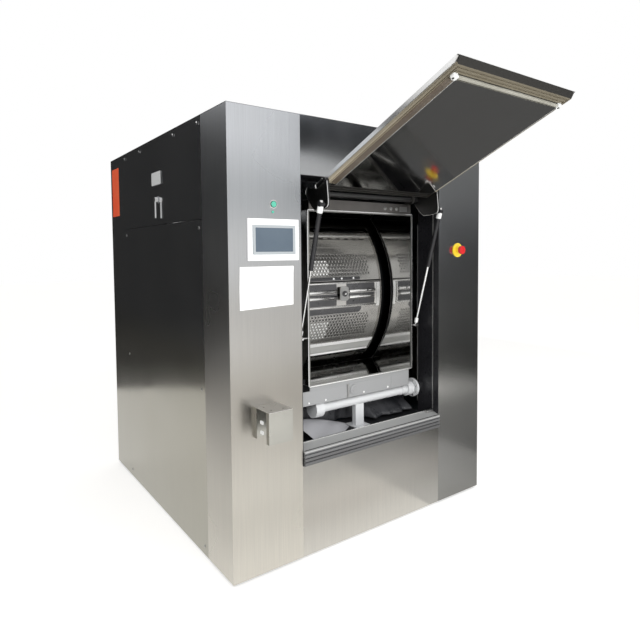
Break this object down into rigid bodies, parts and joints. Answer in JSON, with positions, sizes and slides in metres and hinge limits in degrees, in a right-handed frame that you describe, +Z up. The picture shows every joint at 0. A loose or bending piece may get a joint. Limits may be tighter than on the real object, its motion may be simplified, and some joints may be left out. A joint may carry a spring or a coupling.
{
  "type": "barrier washer",
  "caption": "Double-sided industrial barrier washer in a stainless cabinet, with its loading door lifted on gas struts and its drum doors shut.",
  "frame": {"origin": "centre of the base frame, on the floor", "axes": "+Z up, -Y towards the loading side with the lifted door, +X to the right of someone inside the machine who looks at the unloading side"},
  "size_m": [1.7703, 2.7274, 2.2445],
  "materials": {
    "brushed": "brushed",
    "polished": "polished",
    "satin": "satin",
    "cast": "rough",
    "frame_steel": "satin",
    "black_paint": "satin",
    "motor_paint": "satin",
    "black_rubber": "matte",
    "seal_rubber": "matte",
    "white_plastic": "satin",
    "screen_glass": "gloss",
    "green_plastic": "gloss",
    "red_plastic": "gloss",
    "yellow_plastic": "satin"
  },
  "bodies": {
    "cabinet": {"base_frame": "frame_steel", "casing_front_left": "brushed", "casing_front_right": "brushed", "casing_rear_left": "brushed", "casing_rear_right": "brushed", "header_front": "brushed", "lower_panel_front": "brushed", "side_panel_left": "brushed", "side_panel_right": "brushed", "top_panel": "brushed", "jamb_frame": "black_paint", "surround_rear": "brushed", "sill_front": "satin", "lower_panel_rear": "brushed", "hmi_bezel": "white_plastic", "hmi_screen": "screen_glass", "button_ring": "polished", "stop_ring": "yellow_plastic", "catch_box": "brushed", "manifold_pipe": "cast"},
    "start_button": {"start_button": "green_plastic"},
    "stop_button": {"stop_button": "red_plastic"},
    "side_hatch": {"side_hatch": "brushed"},
    "hatch_lever": {"hatch_lever": "polished"},
    "tub": {"tub_shell": "satin", "tub_end_left": "satin", "tub_end_right": "satin", "bearing_housing_left": "cast", "bearing_housing_right": "cast", "throat_front": "polished", "throat_rear": "polished", "hinge_beam_front": "satin", "drain_pipe": "satin", "cradle_left": "frame_steel", "cradle_right": "frame_steel", "air_spring_front_left": "black_rubber", "air_spring_rear_left": "black_rubber", "air_spring_front_right": "black_rubber", "air_spring_rear_right": "black_rubber", "splash_curtain": "black_rubber", "drive_motor": "motor_paint", "drive_belt": "black_rubber"},
    "motor_pulley": {"motor_pulley": "cast"},
    "drum": {"drum_shell": "polished", "drum_end_left": "satin", "drum_end_right": "satin", "drum_pulley": "cast"},
    "drum_flap_upper": {"drum_flap_upper": "polished"},
    "drum_flap_lower": {"drum_flap_lower": "polished"},
    "flap_latch": {"flap_latch": "cast"},
    "front_door": {"door_pan": "brushed", "door_seal": "seal_rubber", "door_plug": "polished", "door_yoke": "satin"},
    "rear_door": {"rear_door_pan": "brushed", "rear_door_yoke": "satin"},
    "strut_rod_left": {"strut_rod_left": "polished"},
    "strut_tube_left": {"strut_tube_left": "black_paint"},
    "strut_rod_right": {"strut_rod_right": "polished"},
    "strut_tube_right": {"strut_tube_right": "black_paint"}
  },
  "joints": [
    {"name": "start_button_push", "type": "slide", "parent": "cabinet", "child": "start_button", "axis": [0, 1, 0], "range_m": [0, 0.003], "stiffness_N_per_m": 600, "springref_m": -0.002},
    {"name": "stop_button_push", "type": "slide", "parent": "cabinet", "child": "stop_button", "axis": [0, 1, 0], "range_m": [0, 0.005]},
    {"name": "side_hatch_hinge", "type": "hinge", "parent": "cabinet", "child": "side_hatch", "pos_m": [-0.875, -0.0175, 2.1967], "axis": [0, 1, 0], "range_deg": [0, 80]},
    {"name": "hatch_lever_turn", "type": "hinge", "parent": "side_hatch", "child": "hatch_lever", "pos_m": [-0.879, -0.038, 1.845], "axis": [1, 0, 0], "range_deg": [0, 90]},
    {"name": "tub_suspension", "type": "slide", "parent": "cabinet", "child": "tub", "axis": [0, 0, 1], "range_m": [-0.01, 0.005], "stiffness_N_per_m": 500000, "springref_m": 0.02831, "deforming": ["air_spring_front_left", "air_spring_rear_left", "air_spring_front_right", "air_spring_rear_right"]},
    {"name": "drum_spin", "type": "hinge", "parent": "tub", "child": "drum", "pos_m": [0.015, 0, 1.29], "axis": [1, 0, 0], "continuous": true},
    {"name": "motor_spin", "type": "hinge", "parent": "tub", "child": "motor_pulley", "pos_m": [0.72, 0, 0.27], "axis": [1, 0, 0], "continuous": true},
    {"name": "upper_flap_hinge", "type": "hinge", "parent": "drum", "child": "drum_flap_upper", "pos_m": [0.015, -0.45733, 1.67374], "axis": [1, 0, 0], "range_deg": [0, 75]},
    {"name": "lower_flap_hinge", "type": "hinge", "parent": "drum", "child": "drum_flap_lower", "pos_m": [0.015, -0.45733, 0.90626], "axis": [-1, 0, 0], "range_deg": [0, 75]},
    {"name": "flap_latch_turn", "type": "hinge", "parent": "drum_flap_lower", "child": "flap_latch", "pos_m": [0.032, -0.6123, 1.29], "axis": [0, -1, 0], "range_deg": [0, 90]},
    {"name": "front_door_hinge", "type": "hinge", "parent": "tub", "child": "front_door", "pos_m": [0.015, -0.843, 1.841], "axis": [1, 0, 0], "range_deg": [0, 113]},
    {"name": "rear_door_hinge", "type": "hinge", "parent": "tub", "child": "rear_door", "pos_m": [0.015, 0.843, 1.841], "axis": [1, 0, 0], "range_deg": [0, 110]},
    {"name": "strut_left_swing", "type": "hinge", "parent": "tub", "child": "strut_rod_left", "pos_m": [-0.41, -0.8, 1.08812], "axis": [1, 0, 0], "range_deg": [-23.37, 0.2]},
    {"name": "strut_left_slide", "type": "slide", "parent": "strut_rod_left", "child": "strut_tube_left", "axis": [0, -0.2727, 0.9621], "range_m": [-0.05754, 0.0005]},
    {"name": "strut_right_swing", "type": "hinge", "parent": "tub", "child": "strut_rod_right", "pos_m": [0.44, -0.8, 1.08812], "axis": [1, 0, 0], "range_deg": [-23.37, 0.2]},
    {"name": "strut_right_slide", "type": "slide", "parent": "strut_rod_right", "child": "strut_tube_right", "axis": [0, -0.2727, 0.9621], "range_m": [-0.05754, 0.0005]}
  ],
  "couplings": [
    {"joint": "motor_spin", "follows": "drum_spin", "ratio": 3.7333},
    {"joint": "strut_left_swing", "follows": "front_door_hinge", "ratio": -0.20503},
    {"joint": "strut_left_slide", "follows": "front_door_hinge", "m_per_rad": -0.028921},
    {"joint": "strut_right_swing", "follows": "front_door_hinge", "ratio": -0.20503},
    {"joint": "strut_right_slide", "follows": "front_door_hinge", "m_per_rad": -0.028921}
  ]
}
